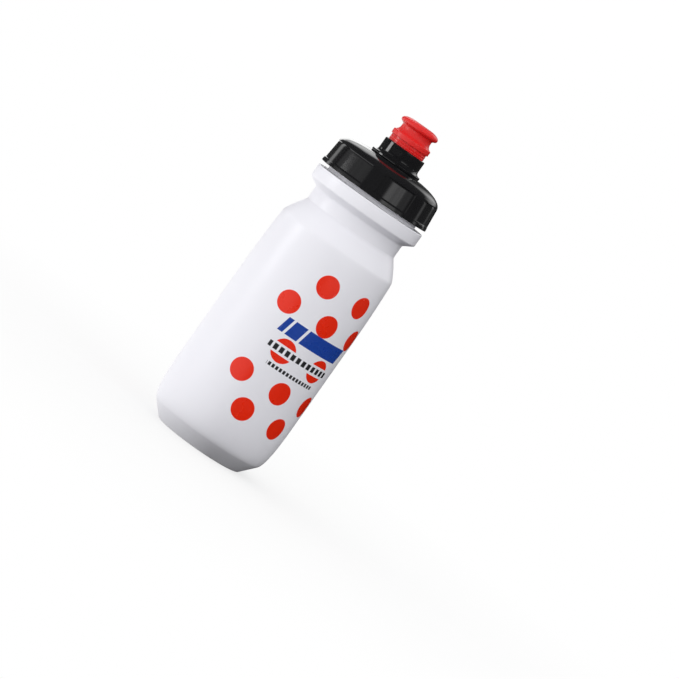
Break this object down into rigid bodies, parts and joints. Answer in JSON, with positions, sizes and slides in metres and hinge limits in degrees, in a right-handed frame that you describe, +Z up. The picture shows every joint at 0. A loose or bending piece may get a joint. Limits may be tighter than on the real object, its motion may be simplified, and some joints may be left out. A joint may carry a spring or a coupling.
{
  "type": "bicycle water bottle",
  "caption": "Squeeze water bottle for a bicycle cage: blown white body with waist and collar, black screw lid with flat grips, red push-pull mouthpiece.",
  "frame": {"origin": "middle of the standing ring, on the surface that the bottle stands on", "axes": "+Z up the bottle's axis towards the mouthpiece; -Y is the middle of the printed side"},
  "size_m": [0.073, 0.073, 0.2091],
  "materials": {
    "body_white": "semi-gloss blown polyethylene with printed dots",
    "gasket_rubber": "matt",
    "lid_black": "polished moulding",
    "housing_black": "polished moulding",
    "seal_rubber": "matt",
    "pin_black": "as moulded",
    "core_red": "satin moulding",
    "mouthpiece_red": "satin soft rubber"
  },
  "bodies": {
    "bottle": {"bottle_body": "body_white"},
    "gasket": {"lid_gasket": "gasket_rubber"},
    "lid": {"lid": "lid_black", "valve_housing": "housing_black", "housing_seal": "seal_rubber", "valve_pin": "pin_black"},
    "mouthpiece": {"mouthpiece_core": "core_red", "slider_seal": "seal_rubber", "mouthpiece": "mouthpiece_red"}
  },
  "joints": [
    {"name": "lid_lift", "type": "slide", "parent": "bottle", "child": "gasket", "axis": [0, 0, 1], "range_m": [0, 0.0151]},
    {"name": "lid_turn", "type": "hinge", "parent": "gasket", "child": "lid", "pos_m": [0, 0, 0.1634], "axis": [0, 0, 1], "range_deg": [0, 1080]},
    {"name": "mouthpiece_slide", "type": "slide", "parent": "lid", "child": "mouthpiece", "axis": [0, 0, 1], "range_m": [-0.00345, 0]}
  ],
  "couplings": [
    {"joint": "lid_lift", "follows": "lid_turn", "m_per_rad": 0.00079577}
  ]
}
